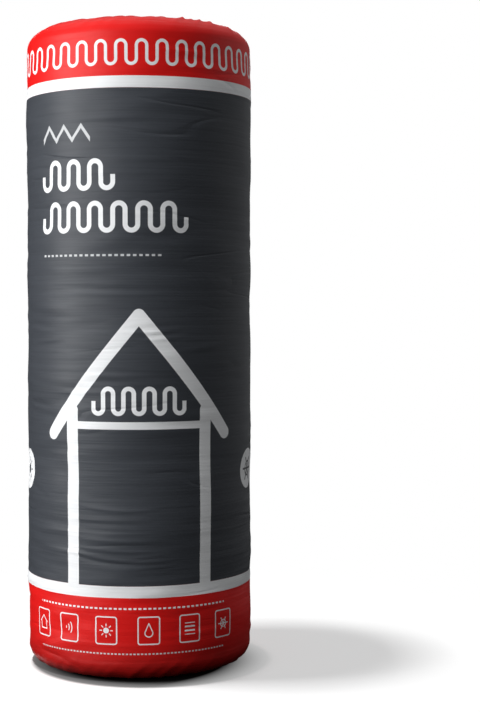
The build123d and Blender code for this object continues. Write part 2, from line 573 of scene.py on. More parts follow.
def film_points(film):
    """Points of the closed film shell, its two maps and its length from opening to opening.

    The outer face is the plain outline moved along its normal by the relief. The inner face goes back from
    the top opening to the base opening over fewer rows, one film thickness inside at the lips and deeper
    behind the wall. The print map gives the distance round from the front and the distance up the film, in
    metres.
    """
    radius, height, across, upward = film_profile(film)
    rows = len(radius)
    end = LIP_ROWS + SHOULDER_ROWS
    path = np.concatenate([[0.0], np.cumsum(np.hypot(np.diff(radius), np.diff(height)))])
    path += film.base_drop - path[end]
    length = path[-1] - path[0]
    angle = film_angles(film)[None, :]
    relief = film_relief(film, angle, upward[:, None], path[:, None])

    end_rows = np.arange(0, end, INNER_LIP_STEP)
    wall_rows = np.arange(end, rows - end, INNER_WALL_STEP)
    inner = np.unique(np.concatenate([end_rows, wall_rows, rows - 1 - end_rows]))[::-1]
    from_edge = np.minimum(path[inner] - path[0], path[-1] - path[inner])
    depth = film.thickness + INNER_WALL_DEPTH * smooth(0.0, INNER_WALL_FADE, from_edge)

    order = np.concatenate([np.arange(rows), inner])
    out = relief[order]
    out[rows:] -= depth[:, None]
    plain = radius[order][:, None]
    to_edge = smooth(film.radius - film.top_reach, film.opening, plain) ** 2
    r = plain + across[order][:, None] * out + to_edge * gathered_edge(film, angle)
    z = height[order][:, None] + upward[order][:, None] * out
    z[:rows] = np.maximum(z[:rows], 0.0)
    z[rows:] = np.maximum(z[rows:], film.thickness)
    z = z + top_lean(film, angle, z)
    points = np.stack([*place_at(r, angle), z], axis=-1)

    turn_ends = np.append(angle / TURN, 0.5)
    up = np.append(path[order], path[0])
    print_map = np.stack(np.meshgrid(turn_ends * TURN * film.radius, up), axis=-1)
    outer_up = (path - path[0]) / length * BAKE_OUTER_SHARE
    inner_up = np.linspace(BAKE_OUTER_SHARE + BAKE_GAP, 1.0, len(inner) + 1)
    bake_map = np.stack(np.meshgrid(turn_ends + 0.5, np.concatenate([outer_up, inner_up])), axis=-1)
    return points, {BAKE_MAP: bake_map, PRINT_MAP: print_map}, length


# The wound quilt: the rows and columns of its grid, and how far it stays behind the film

WOOL_COLUMNS = 256
END_ROWS = 72
END_HIDDEN_ROWS = 8
EYE_ROWS = 10
HIDDEN_WALL_ROWS = 8
HIDDEN_WALL_DEPTH = 0.009
HIDDEN_END_DEPTH = 0.0015
HIDDEN_RIM_MARGIN = 0.006
HIDDEN_RIM_SHARE = 0.5

# Its ends

WOOL_SEED = 31
WANDER_WAVES = {"count": 24, "shortest": 0.035, "longest": 0.12}
DEPTH_WAVES = {"count": 20, "shortest": 0.02, "longest": 0.08}
TUFT_WAVES = {"count": 90, "shortest": 0.0035, "longest": 0.025}
LAYER_WAVES = {"count": 30, "shortest": 0.01, "longest": 0.05}
WANDER_SHARE = 0.07
ROLL_POWER = 4.5
DEPTH_MEAN = 0.9
DEPTH_SPREAD = 0.25
TUFT_HEIGHT = 0.0005
LAYERS_PER_TURN = 5.0
LAYER_STRAY = 1.2
LAYER_HEIGHT = 0.0004
END_UNDER_LIP = 0.012
TUCK_UNDER_LIP = 0.008
TUCK_INSIDE_LIP = 0.012
TOP_LIFT = 0.001
BASE_LIFT = 0.0008
PUFF_FADE = 0.03
EYE_PUFF_SHARE = 0.4
EYE_EDGE = 0.007
EYE_FALL = 0.006
EYE_WAVES = {"count": 30, "most_turns": 6, "shortest": 0.05, "longest": 0.5, "slope": 0.4}
EYE_WANDER = 0.0012


def winding(wool, film, angle, radius):
    """Turns counted from the eye at each point of an end, and the pitch.

    The count is (radius - eye) / pitch less the share of a turn that the angle has made, as on a spiral whose
    radius grows by one pitch each turn. The spiral's creases are where it is a whole number.
    """
    pitch = (film.radius - wool.eye) / wool.turns
    return (radius - wool.eye) / pitch - (angle + math.pi / 2.0) / TURN, pitch


def end_relief(rng, wool, film, angle, radius):
    """Relief of an end: each turn is a rounded roll between two creases, roughened by tufts.

    With q the place across a turn from 0 to 1, the roll is 1 - |2 q - 1| to a power, so that it is nearly
    level in the middle and falls steeply into the creases.
    """
    x, y = place_at(radius, angle)
    wander = WANDER_SHARE * scatter_waves(rng, x, y, **WANDER_WAVES)
    count = winding(wool, film, angle, radius)[0] + wander
    roll = 1.0 - np.abs(2.0 * (count % 1.0) - 1.0) ** ROLL_POWER
    depth = wool.crease * (DEPTH_MEAN + DEPTH_SPREAD * scatter_waves(rng, x, y, **DEPTH_WAVES))
    tufts = scatter_waves(rng, x, y, **TUFT_WAVES)
    stray = LAYER_STRAY * scatter_waves(rng, x, y, **LAYER_WAVES)
    layers = np.cos(TURN * LAYERS_PER_TURN * count + stray)
    return depth * (roll - 1.0) + TUFT_HEIGHT * tufts + LAYER_HEIGHT * layers


def shoulder_fall(wall, reach, drop, radius):
    """How far the hidden rim of an end lies from its level, so that it stays under the film's shoulder.

    It follows the shoulder's ellipse, drop * (1 - sqrt(1 - s * s)) with s the share of the reach, and goes
    deeper by a margin that grows towards the wall.
    """
    share = np.clip((radius - wall + reach) / reach, 0.0, 1.0)
    margin = HIDDEN_RIM_MARGIN * smooth(0.0, HIDDEN_RIM_SHARE, share)
    return drop * (1.0 - np.sqrt(1.0 - share**2)) + margin


def top_puff(wool, film, radius):
    """How far the top end swells out of the film's opening: from nothing at the lip to the full puff."""
    return wool.puff * smooth(film.opening, film.opening - PUFF_FADE, radius)


def eye_fall(wool, radius):
    """How far an end falls away at the edge of the eye."""
    return EYE_FALL * smooth(wool.eye + EYE_EDGE, wool.eye, radius)


def wool_points(wool, film):
    """Points of the closed wool roll and the map that follows its winding.

    Rows run out over the base end, up the hidden wall, in over the top end and down the eye. The top end
    swells out of the film's opening, and the base end stays off the floor.
    """
    rng = np.random.default_rng(WOOL_SEED)
    angle = np.linspace(-math.pi, math.pi, WOOL_COLUMNS, endpoint=False)[None, :]
    shown_edge = film.opening + END_UNDER_LIP
    shown = np.linspace(wool.eye, shown_edge, END_ROWS)
    hidden = np.linspace(shown_edge, film.radius - HIDDEN_WALL_DEPTH, END_HIDDEN_ROWS + 1)[1:]
    out = np.concatenate([shown, hidden])[:, None]
    tuck = smooth(film.opening + TUCK_UNDER_LIP, film.opening - TUCK_INSIDE_LIP, out)
    eye_edge = smooth(wool.eye, wool.eye + EYE_EDGE, out)
    fall = eye_fall(wool, out)

    relief = end_relief(rng, wool, film, angle, out)
    swell = top_puff(wool, film, out) * at_least(EYE_PUFF_SHARE, eye_edge)
    top = film.height - HIDDEN_END_DEPTH + tuck * (HIDDEN_END_DEPTH + relief + TOP_LIFT) + swell
    top = top - fall - shoulder_fall(film.radius, film.top_reach, film.top_drop, out)

    relief = end_relief(rng, wool, film, angle, out)
    base = HIDDEN_END_DEPTH - tuck * (relief + BASE_LIFT)
    base = base + fall + shoulder_fall(film.radius, film.base_reach, film.base_drop, out)
    base = np.maximum(base, 2.0 * film.thickness)

    wall_share = np.linspace(0.0, 1.0, HIDDEN_WALL_ROWS + 2)[1:-1, None]
    wall_z = base[-1] + wall_share * (top[-1] - base[-1])
    eye_share = np.linspace(0.0, 1.0, EYE_ROWS + 2)[1:-1, None]
    eye_z = top[0] + eye_share * (base[0] - top[0])
    z = np.concatenate([base, wall_z, top[::-1], eye_z])
    eye_wall = wool.eye + EYE_WANDER * ripple(rng, angle, eye_z, **EYE_WAVES)
    r = np.concatenate(
        [
            np.broadcast_to(out, base.shape),
            np.broadcast_to(out[-1], wall_z.shape),
            np.broadcast_to(out[::-1], top.shape),
            eye_wall,
        ]
    )
    z = z + top_lean(film, angle, z)
    points = np.stack([*place_at(r, angle), z], axis=-1)

    ends = np.linspace(-math.pi, math.pi, WOOL_COLUMNS + 1)[None, :]
    lane = np.concatenate([r[:, :1], r[:1, :1]])
    count, pitch = winding(wool, film, ends, lane)
    turn = np.floor(count)
    lay_map = np.stack([(ends + TURN * turn) * lane, (count - turn) * pitch], axis=-1)
    return points, {LAY_MAP: lay_map}


# Loose fibres

FIBRE_SEED = 43
FIBRE_STEPS = 7
FIBRE_SIDES = 3
FIBRE_EYE_MARGIN = 0.002
FIBRE_LIP_MARGIN = 0.003
FIBRE_LENGTHS = (0.006, 0.024)
FIBRE_STRAY = 0.5
FIBRE_BOW = 0.16
FIBRE_ARCHES = (-0.001, 0.0035)
FIBRE_LIFTS = (-0.0012, 0.0006)
FIBRE_RADII = (0.00009, 0.0002)
FIBRE_TIP_SHARE = 0.25


def fibre_points(wool, film):
    """Points of loose strands on the top end, of shape (fibres, steps, sides, 3).

    A strand has its middle at a random place on the end and runs mostly along the winding. At t from 0 to 1
    its line is at middle + length * (t - 1/2) * heading, bowed sideways and lifted by 4 t (1 - t), and it
    tapers to both tips.
    """
    rng = np.random.default_rng(FIBRE_SEED)
    count = wool.fibres
    nearest, farthest = wool.eye + FIBRE_EYE_MARGIN, film.opening - FIBRE_LIP_MARGIN
    radius = np.sqrt(rng.uniform(nearest**2, farthest**2, count))
    angle = rng.uniform(-math.pi, math.pi, count)
    heading = angle + rng.choice([0.0, math.pi], count) + rng.normal(0.0, FIBRE_STRAY, count)
    ahead, aside = np.cos(heading)[:, None], np.sin(heading)[:, None]
    length = rng.uniform(*FIBRE_LENGTHS, count)[:, None]
    t = np.linspace(0.0, 1.0, FIBRE_STEPS)[None, :]
    bow = 4.0 * t * (1.0 - t)
    side = rng.normal(0.0, FIBRE_BOW, count)[:, None] * length * bow
    along = (t - 0.5) * length
    middle_x, middle_y = place_at(radius[:, None], angle[:, None])
    x = middle_x + along * ahead - side * aside
    y = middle_y + along * aside + side * ahead
    reach = np.hypot(x, y)
    arch = rng.uniform(*FIBRE_ARCHES, count)[:, None] * bow
    lift = arch + rng.uniform(*FIBRE_LIFTS, count)[:, None] - eye_fall(wool, reach)
    line = np.stack([x, y, film.height + top_puff(wool, film, reach) + lift], axis=-1)
    thick = rng.uniform(*FIBRE_RADII, count)[:, None] * at_least(FIBRE_TIP_SHARE, bow)
    turn = np.linspace(0.0, TURN, FIBRE_SIDES, endpoint=False)[None, None, :, None]
    level = np.stack([-aside, ahead, np.zeros_like(ahead)], axis=-1)[:, :, None, :]
    upright = np.array([0.0, 0.0, 1.0])
    ring = np.cos(turn) * level + np.sin(turn) * upright
    return line[:, :, None, :] + thick[:, :, None, None] * ring


def strand_mesh(name, points):
    """Make one mesh of many closed tubes from points of shape (strands, steps, sides, 3)."""
    strands, steps, sides = points.shape[:3]
    index = np.arange(strands * steps * sides).reshape(strands, steps, sides)
    after = np.roll(index, -1, axis=2)
    walls = np.stack([index[:, :-1], after[:, :-1], after[:, 1:], index[:, 1:]], axis=-1).reshape(-1, 4)
    caps = np.concatenate([index[:, 0, ::-1], index[:, -1]])
    mesh = bpy.data.meshes.new(name)
    mesh.from_pydata(points.reshape(-1, 3).tolist(), [], walls.tolist() + caps.tolist())
    mesh.update()
    mesh.shade_smooth()
    return mesh


# Materials


class Field:
    """A number that varies over a surface: a socket in a material's nodes, with arithmetic on it."""

    def __init__(self, tree, socket):
        self.tree = tree
        self.socket = socket

    def math(self, operation, *others, clamp=False):
        """The result of a Math node with this field as its first value."""
        node = self.tree.nodes.new("ShaderNodeMath")
        node.operation = operation
        node.use_clamp = clamp
        for place, value in zip(node.inputs, (self, *others)):
            if isinstance(value, Field):
                self.tree.links.new(value.socket, place)
            else:
                place.default_value = value
        return Field(self.tree, node.outputs[0])

    def __add__(self, other):
        return self.math("ADD", other)

    def __sub__(self, other):
        return self.math("SUBTRACT", other)

    def __rsub__(self, other):
        return self * -1.0 + other

    def __mul__(self, other):
        return self.math("MULTIPLY", other)

    def __abs__(self):
        return self.math("ABSOLUTE")

    def most(self, other):
        """The greater of two fields."""
        return self.math("MAXIMUM", other)

    def least(self, other):
        """The lesser of two fields."""
        return self.math("MINIMUM", other)

    def hypot(self, other):
        """Length of the vector with these two parts."""
        return (self * self + other * other).math("SQRT")


def new_material(name):
    """An empty node material with its Principled shader."""
    material = bpy.data.materials.new(name)
    material.use_nodes = True
    tree = material.node_tree
    return material, tree, tree.nodes["Principled BSDF"]


def map_place(tree, map_name):
    """Socket of the place on a UV map."""
    node = tree.nodes.new("ShaderNodeUVMap")
    node.uv_map = map_name
    return node.outputs[0]


def object_place(tree):
    """Socket of the place in the roll's own frame."""
    return tree.nodes.new("ShaderNodeTexCoord").outputs["Object"]


def first_two(tree, place):
    """The first two parts of a place as fields."""
    parts = tree.nodes.new("ShaderNodeSeparateXYZ")
    tree.links.new(place, parts.inputs[0])
    return Field(tree, parts.outputs[0]), Field(tree, parts.outputs[1])


def noise(tree, place, stretch, detail, roughness=0.55):
    """Noise over a place that is first multiplied by stretch, from about 0 to 1."""
    mapping = tree.nodes.new("ShaderNodeMapping")
    mapping.inputs["Scale"].default_value = stretch
    tree.links.new(place, mapping.inputs["Vector"])
    texture = tree.nodes.new("ShaderNodeTexNoise")
    texture.inputs["Scale"].default_value = 1.0
    texture.inputs["Detail"].default_value = detail
    texture.inputs["Roughness"].default_value = roughness
    tree.links.new(mapping.outputs[0], texture.inputs["Vector"])
    return Field(tree, texture.outputs["Fac"])


def ramp(tree, value, low, high):
    """A field that goes smoothly from 0 at low to 1 at high."""
    node = tree.nodes.new("ShaderNodeMapRange")
    node.interpolation_type = "SMOOTHSTEP"
    node.inputs["From Min"].default_value = low
    node.inputs["From Max"].default_value = high
    tree.links.new(value.socket, node.inputs["Value"])
    return Field(tree, node.outputs["Result"])


def mix_colour(tree, amount, first, second):
    """Socket of a colour that goes from first to second with amount. Each is a socket or a plain colour."""
    node = tree.nodes.new("ShaderNodeMix")
    node.data_type = "RGBA"
    tree.links.new(amount.socket, node.inputs["Factor"])
    for place, value in (("A", first), ("B", second)):
        socket = next(s for s in node.inputs if s.name == place and s.type == "RGBA")
        if isinstance(value, bpy.types.NodeSocket):
            tree.links.new(value, socket)
        else:
            socket.default_value = (*value, 1.0)
    return next(s for s in node.outputs if s.type == "RGBA")


def mix_tones(tree, amount, colour, first_shares, second_shares):
    """Socket of a colour that goes with amount between two tones: its parts times their shares, up to 1."""
    first, second = (
        [min(1.0, part * share) for part, share in zip(colour, shares)]
        for shares in (first_shares, second_shares)
    )
    return mix_colour(tree, amount, first, second)


def bump(tree, shader, layers):
    """Chain Bump nodes into a shader's normal: each layer is a height field and its depth in metres."""
    previous = None
    for height, depth in layers:
        node = tree.nodes.new("ShaderNodeBump")
        node.inputs["Strength"].default_value = 1.0
        node.inputs["Distance"].default_value = depth
        tree.links.new(height.socket, node.inputs["Height"])
        if previous:
            tree.links.new(previous.outputs[0], node.inputs["Normal"])
        previous = node
    tree.links.new(previous.outputs[0], shader.inputs["Normal"])


# Drawing the print: every shape is a distance from its edge or middle line, in metres

INK_EDGE = 0.0006


def ink(distance, half_width):
    """Coverage of a line: 1 where distance is under half_width, falling to 0 over the ink's edge."""
    return distance.math("MULTIPLY_ADD", -1.0 / INK_EDGE, half_width / INK_EDGE + 0.5, clamp=True)


def between(value, low, high):
    """Coverage of a strip from low to high."""
    return ink(abs(value - (low + high) / 2.0), (high - low) / 2.0)


def folded(x, period):
    """Distance from the middle of the period that x lies in."""
    return abs(x.math("FLOORED_MODULO", period) - period / 2.0)


def dashes(x, period, share):
    """Coverage of a row of dashes that fill a share of each period."""
    return ink(folded(x, period), period * share / 2.0)


def segment(x, y, start, end):
    """Distance from the straight line between two points."""
    ax, ay = start
    bx, by = end[0] - ax, end[1] - ay
    px, py = x - ax, y - ay
    share = (px * bx + py * by).math("MULTIPLY", 1.0 / (bx * bx + by * by), clamp=True)
    return (px - share * bx).hypot(py - share * by)


def rounded_box(x, y, half_width, half_height, corner):
    """Distance from the edge of a box with round corners, negative inside."""
    dx = abs(x) - (half_width - corner)
    dy = abs(y) - (half_height - corner)
    outside = dx.most(0.0).hypot(dy.most(0.0))
    return outside + dx.most(dy).least(0.0) - corner


def meander(x, y, period, straight):
    """Distance from a line that winds up and down: half circles joined by upright runs.

    straight is half the length of an upright run. The line is a row of half circles a quarter period in
    radius, bending up and down by turns, and it crosses the middle at the edges of each half circle.
    """
    aside = folded(x, period)
    above = y.math("GREATER_THAN", 0.0)
    upper = aside.hypot((y - straight).most(0.0))
    lower = (period / 2.0 - aside).hypot((-straight - y).most(0.0))
    reach = upper * above + lower * (1.0 - above)
    return abs(reach - period / 4.0)


def zigzag(x, y, period, height):
    """Distance from a line of straight slopes that rises and falls by height either way once a period."""
    steep = 4.0 * height / period
    return abs(y + folded(x, period) * steep - height) * (1.0 / math.hypot(1.0, steep))


def rays(x, y, count):
    """Distance from straight lines through the middle at equal angles: count lines, two rays each."""
    turns = [math.pi * line / count for line in range(count)]
    return reduce(Field.least, [abs(x * math.sin(turn) - y * math.cos(turn)) for turn in turns])


# Plain figures, each drawn round its middle

FIGURE_LINE = 0.0009
GABLE_LINES = (
    ((0.0, 0.012), (0.011, 0.001)),
    ((0.008, 0.002), (0.008, -0.011)),
    ((0.0, -0.011), (0.008, -0.011)),
)
SUN_RADIUS = 0.005
SUN_LINES = 4
SUN_RAY_LINE = 0.0008
SUN_RAY_SPAN = (0.0072, 0.0118)
FLAKE_LINES = 3
FLAKE_REACH = 0.0118
FLAKE_RING = (0.0055, 0.0071)
ARC_START = -0.009
ARC_STEP = 0.006
ARC_REACH = 0.0195
ARC_SLOPE = 0.8
DROP_MIDDLE = -0.004
DROP_RADIUS = 0.0068
DROP_NECK = (0.0059, -0.0008)
DROP_TIP = (0.0, 0.0125)
BAR_STEP = 0.007
BAR_LINE = 0.0014
BAR_HALF_LENGTH = 0.0095
BAR_REACH = 0.0105


def figure_house(x, y):
    """A small gabled house in outline."""
    lines = [segment(abs(x), y, *line) for line in GABLE_LINES]
    return ink(reduce(Field.least, lines), FIGURE_LINE)


def figure_sun(x, y):
    """A disc with rays round it."""
    reach = x.hypot(y)
    beams = ink(rays(x, y, SUN_LINES), SUN_RAY_LINE) * between(reach, *SUN_RAY_SPAN)
    return ink(reach, SUN_RADIUS).most(beams)


def figure_flake(x, y):
    """Six plain arms with a ring across them."""
    reach = x.hypot(y)
    arms = ink(rays(x, y, FLAKE_LINES), FIGURE_LINE) * ink(reach, FLAKE_REACH)
    return arms.most(between(reach, *FLAKE_RING))


def figure_waves(x, y):
    """Three arcs that spread from a point at the left."""
    ahead = x - ARC_START
    reach = ahead.hypot(y)
    rings = ink(folded(reach, ARC_STEP), FIGURE_LINE)
    return rings * ink(reach, ARC_REACH) * ink(abs(y) - ahead * ARC_SLOPE, 0.0)


def figure_drop(x, y):
    """A drop in outline: a circle below and two straight sides above."""
    bowl = abs(x.hypot(y - DROP_MIDDLE) - DROP_RADIUS)
    below = ink(y - DROP_NECK[1], 0.0)
    flank = segment(abs(x), y, DROP_TIP, DROP_NECK)
    return (ink(bowl, FIGURE_LINE) * below).most(ink(flank, FIGURE_LINE))


def figure_layers(x, y):
    """Three level bars, one above the other."""
    return ink(folded(y, BAR_STEP), BAR_LINE) * ink(abs(x), BAR_HALF_LENGTH) * ink(abs(y), BAR_REACH)


# The charcoal panel

HATCH_STRAIGHT = 0.0125
HOUSE_X = 0.012
HOUSE_ROOF = ((0.0, 0.628), (0.166, 0.424))
HOUSE_WALL = ((0.121, 0.16), (0.121, 0.465))
HOUSE_FLOOR = ((0.0, 0.440), (0.121, 0.440))
HOUSE_LINE = 0.0115
HOUSE_FLOOR_LINE = 0.0065
LOFT_LEVEL = 0.482
LOFT_PERIOD = 0.0352
LOFT_LINE = 0.0038
LOFT_END = 2.25
ROW_PERIOD = 0.0424
ROW_LINE = 0.0042
ROW_START = -4.25
SHORT_ROW_LEVEL = 0.868
SHORT_ROW_END = -0.75
LONG_ROW_LEVEL = 0.796
LONG_ROW_END = 2.25
PEAK_COUNT = 3
PEAK_PERIOD = 0.036
PEAK_LEVEL = 0.940
PEAK_HEIGHT = 0.012
PEAK_LINE = 0.0026
RULE_DASH = (0.0106, 0.55)
RULE_SPAN = (0.729, 0.7325)
RULE_END = 0.053
PALE_SHARE = 0.62
DISC_LEVEL = 0.352
DISC_RADIUS = 0.036
DISCS = ((-0.262, figure_sun, 0.55), (0.268, figure_flake, 0.5))
BACK_PANEL_X = 0.455
BACK_PANEL_LEVEL = 0.57
BACK_PANEL_BOX = (0.09, 0.215, 0.014)
BACK_PANEL_LINE = 0.0028
BACK_PANEL_MARGIN = 0.018
BACK_ROW_PERIOD = 0.045
BACK_ROW_LINE = 0.0032
BACK_ROW_DASH = (0.0148, 0.6)


def hatch_row(x, y, period, half_width, first, last):
    """A stretch of wool hatch from the first to the last upright run, counted in periods, with square ends.

    Both end runs stop at the middle of the row, so that no part of the next arc shows.
    """
    off_middle = abs(x - (first + last) / 2.0 * period)
    half_span = (last - first) / 2.0 * period
    ends = ink(off_middle, half_span - 2.0 * half_width).most(ink(y, 0.0))
    line = ink(meander(x, y, period, HATCH_STRAIGHT), half_width)
    return line * ink(off_middle, half_span + half_width) * ends


def house_section(x, y):
    """A gabled house cut through, standing on the low stripe, with a wool hatch on its loft floor."""
    side = abs(x)
    roof = ink(segment(side, y, *HOUSE_ROOF), HOUSE_LINE)
    walls = ink(segment(side, y, *HOUSE_WALL), HOUSE_LINE)
    floor = ink(segment(side, y, *HOUSE_FLOOR), HOUSE_FLOOR_LINE)
    hatch = hatch_row(x, y - LOFT_LEVEL, LOFT_PERIOD, LOFT_LINE, -LOFT_END, LOFT_END)
    return roof.most(walls).most(floor).most(hatch)


def panel_rows(x, y):
    """Two rows of wool hatch on the upper part of the panel, then a paler zigzag and a line of dashes."""
    left = ROW_START * ROW_PERIOD
    short = hatch_row(x, y - SHORT_ROW_LEVEL, ROW_PERIOD, ROW_LINE, ROW_START, SHORT_ROW_END)
    long = hatch_row(x, y - LONG_ROW_LEVEL, ROW_PERIOD, ROW_LINE, ROW_START, LONG_ROW_END)
    peaks = ink(zigzag(x - left, y - PEAK_LEVEL, PEAK_PERIOD, PEAK_HEIGHT), PEAK_LINE)
    peaks = peaks * between(x, left, left + PEAK_COUNT * PEAK_PERIOD)
    rule = dashes(x, *RULE_DASH) * between(y, *RULE_SPAN) * between(x, left, RULE_END)
    return short.most(long), peaks.most(rule)


def side_discs(x, y):
    """A white disc on each flank with a plain figure left open in it."""
    discs = []
    for middle, figure, scale in DISCS:
        across, rise = x - middle, y - DISC_LEVEL
        discs.append(ink(across.hypot(rise), DISC_RADIUS) * (1.0 - figure(across * scale, rise * scale)))
    return reduce(Field.most, discs)


def back_panels(x, y):
    """A round-cornered frame on each side of the lap, with rows of dashes in it."""
    side, rise = abs(x) - BACK_PANEL_X, y - BACK_PANEL_LEVEL
    edge = rounded_box(side, rise, *BACK_PANEL_BOX)
    rows = ink(folded(rise, BACK_ROW_PERIOD), BACK_ROW_LINE) * dashes(side, *BACK_ROW_DASH)
    rows = rows * ink(edge, -BACK_PANEL_MARGIN)
    return rows.most(ink(abs(edge), BACK_PANEL_LINE))


# The red bands

BORDER_COUNT = 36
BORDER_LEVEL = 1.074
BORDER_STRAIGHT = 0.011
BORDER_LINE = 0.0027
FIGURES = (
    (-0.186, figure_house),
    (-0.118, figure_waves),
    (-0.046, figure_sun),
    (0.028, figure_drop),
    (0.101, figure_layers),
    (0.172, figure_flake),
)
FIGURE_LEVEL = 0.088
FIGURE_BOX = (0.0185, 0.0235, 0.004)
FIGURE_BOX_LINE = 0.0011
BAND_RULES = ((0.0085, 0.1245, 0.1275), (0.0065, 0.0465, 0.049))
BAND_RULE_SHARE = 0.6
BAND_RULE_ENDS = (-0.19, 0.175)


def figure_row(x, y):
    """A row of round-cornered frames on the low red band, each with a figure, between two fine rules."""
    frames = []
    for place, figure in FIGURES:
        across, rise = x - place, y - FIGURE_LEVEL
        box = ink(abs(rounded_box(across, rise, *FIGURE_BOX)), FIGURE_BOX_LINE)
        frames.append(box.most(figure(across, rise)))
    rules = [dashes(x, period, BAND_RULE_SHARE) * between(y, *span) for period, *span in BAND_RULES]
    return reduce(Field.most, frames).most(reduce(Field.most, rules) * between(x, *BAND_RULE_ENDS))


# The film's material

DENSITY_NOISE = {"stretch": (5.0, 70.0, 1.0), "detail": 4.0}
CHARCOAL_THIN, CHARCOAL_THICK = (0.86,) * 3, (1.12,) * 3
RED_THIN, RED_THICK = (0.93,) * 3, (1.05,) * 3
# Painted shade: the film's colour darkens in patches towards its low edge, standing in for the shade near the
# floor
BASE_SHADE_NOISE = {"stretch": (14.0, 40.0, 1.0), "detail": 4.0}
BASE_SHADE_SPREAD = 0.9
BASE_SHADE_LEAST = 0.45
BASE_SHADE_HEIGHT = 0.085
BASE_SHADE_SHARE = 0.7
BASE_SHADE_COLOUR = (0.06, 0.006, 0.005)
GLOSS_NOISE = {"stretch": (9.0, 120.0, 1.0), "detail": 3.0}
FILM_ROUGHNESS = 0.42
FILM_ROUGHNESS_SPREAD = 0.12
FILM_SPECULAR = 0.34
STRETCH_NOISE = {"stretch": (2.2, 62.0, 1.0), "detail": 3.0, "roughness": 0.5}
STRETCH_DEPTH = 0.0014
FINE_NOISE = {"stretch": (7.0, 260.0, 1.0), "detail": 2.0, "roughness": 0.5}
FINE_DEPTH = 0.0002
FOLD_NOISE = {"stretch": (3.0, 17.0, 1.0), "detail": 1.0}
FOLD_STEEPNESS = 26.0
FOLD_PATCH_NOISE = {"stretch": (4.0, 8.0, 1.0), "detail": 1.0}
FOLD_PATCH_STEEPNESS = 9.0
FOLD_DEPTH = 0.0008
SEAL_SPAN = (0.006, 0.02)
CRIMP_LENGTH = 0.003
CRIMP_DEPTH = 0.00012


def printed_film(film, ink_set):
    """Satin polythene: red bands, white stripes and a charcoal panel with white line work.

    Ink density and gloss vary a little along the winding, fine stretch lines run round the roll, and painted
    shade darkens the colour in patches towards the low edge.
    """
    material, tree, shader = new_material("printed_film")
    place = map_place(tree, PRINT_MAP)
    x, y = first_two(tree, place)
    low, high, wide = ink_set.low_stripe, ink_set.high_stripe, ink_set.stripe
    circumference = TURN * film.radius

    ends = 1.0 - between(y, low + wide, high)
    stripes = between(y, low, low + wide).most(between(y, high, high + wide))
    border = meander(x, y - BORDER_LEVEL, circumference / BORDER_COUNT, BORDER_STRAIGHT)
    rows, pale_rows = panel_rows(x, y)
    drawn = (
        stripes,
        ink(border, BORDER_LINE),
        figure_row(x, y),
        house_section(x - HOUSE_X, y),
        rows,
        side_discs(x, y),
        back_panels(x, y),
        pale_rows * PALE_SHARE,
    )

    density = noise(tree, place, **DENSITY_NOISE)
    charcoal = mix_tones(tree, density, ink_set.charcoal, CHARCOAL_THIN, CHARCOAL_THICK)
    red = mix_tones(tree, density, ink_set.red, RED_THIN, RED_THICK)
    ground = mix_colour(tree, ends, charcoal, red)
    colour = mix_colour(tree, reduce(Field.most, drawn), ground, ink_set.white)
    # Painted shade: the colour goes darker in patches towards the low edge of the film
    shade_patches = noise(tree, place, **BASE_SHADE_NOISE) * BASE_SHADE_SPREAD + BASE_SHADE_LEAST
    painted_base_shade = ramp(tree, y * -1.0, -BASE_SHADE_HEIGHT, 0.0) * shade_patches
    colour = mix_colour(tree, painted_base_shade.math("MULTIPLY", BASE_SHADE_SHARE, clamp=True), colour, BASE_SHADE_COLOUR)
    tree.links.new(colour, shader.inputs["Base Color"])

    roughness = noise(tree, place, **GLOSS_NOISE) * FILM_ROUGHNESS_SPREAD + FILM_ROUGHNESS
    tree.links.new(roughness.socket, shader.inputs["Roughness"])
    shader.inputs["Specular IOR Level"].default_value = FILM_SPECULAR
    stretch = noise(tree, place, **STRETCH_NOISE)
    fine = noise(tree, place, **FINE_NOISE)
    folds = abs(noise(tree, place, **FOLD_NOISE) - 0.5).math("MULTIPLY", FOLD_STEEPNESS, clamp=True)
    patches = noise(tree, place, **FOLD_PATCH_NOISE) - 0.5
    folds = folds * patches.math("MULTIPLY", FOLD_PATCH_STEEPNESS, clamp=True)
    seal = between(x + circumference / 2.0, *SEAL_SPAN)
    crimp = (y * (TURN / CRIMP_LENGTH)).math("SINE") * seal
    layers = [(stretch, STRETCH_DEPTH), (fine, FINE_DEPTH), (folds, FOLD_DEPTH), (crimp, CRIMP_DEPTH)]
    bump(tree, shader, layers)
    return material


# The wool's materials

LAY_NOISE = {"stretch": (28.0, 900.0, 1.0), "detail": 5.0, "roughness": 0.6}
LAY_SHARE = 0.45
LAY_DEPTH = 0.0012
TUFT_NOISE = {"stretch": (160.0, 160.0, 160.0), "detail": 6.0, "roughness": 0.65}
TUFT_SHARE = 0.4
TUFT_DEPTH = 0.0022
THREAD_NOISE = {"stretch": (220.0, 2600.0, 1.0), "detail": 3.0, "roughness": 0.7}
THREAD_SHARE = 0.25
THREAD_DEPTH = 0.0006
WOOL_CONTRAST = 2.2
WOOL_SHIFT = -0.72
WOOL_DARK = (0.62, 0.54, 0.40)
WOOL_PALE = (1.25, 1.32, 1.7)
WOOL_ROUGHNESS = 0.92
WOOL_SPECULAR = 0.2
WOOL_SHEEN = 0.25
WOOL_SHEEN_ROUGHNESS = 0.6
FIBRE_NOISE = {"stretch": (90.0, 90.0, 90.0), "detail": 2.0}
FIBRE_DARK = (0.9, 0.9, 0.9)
FIBRE_PALE = (1.35, 1.5, 2.2)
FIBRE_ROUGHNESS = 0.5


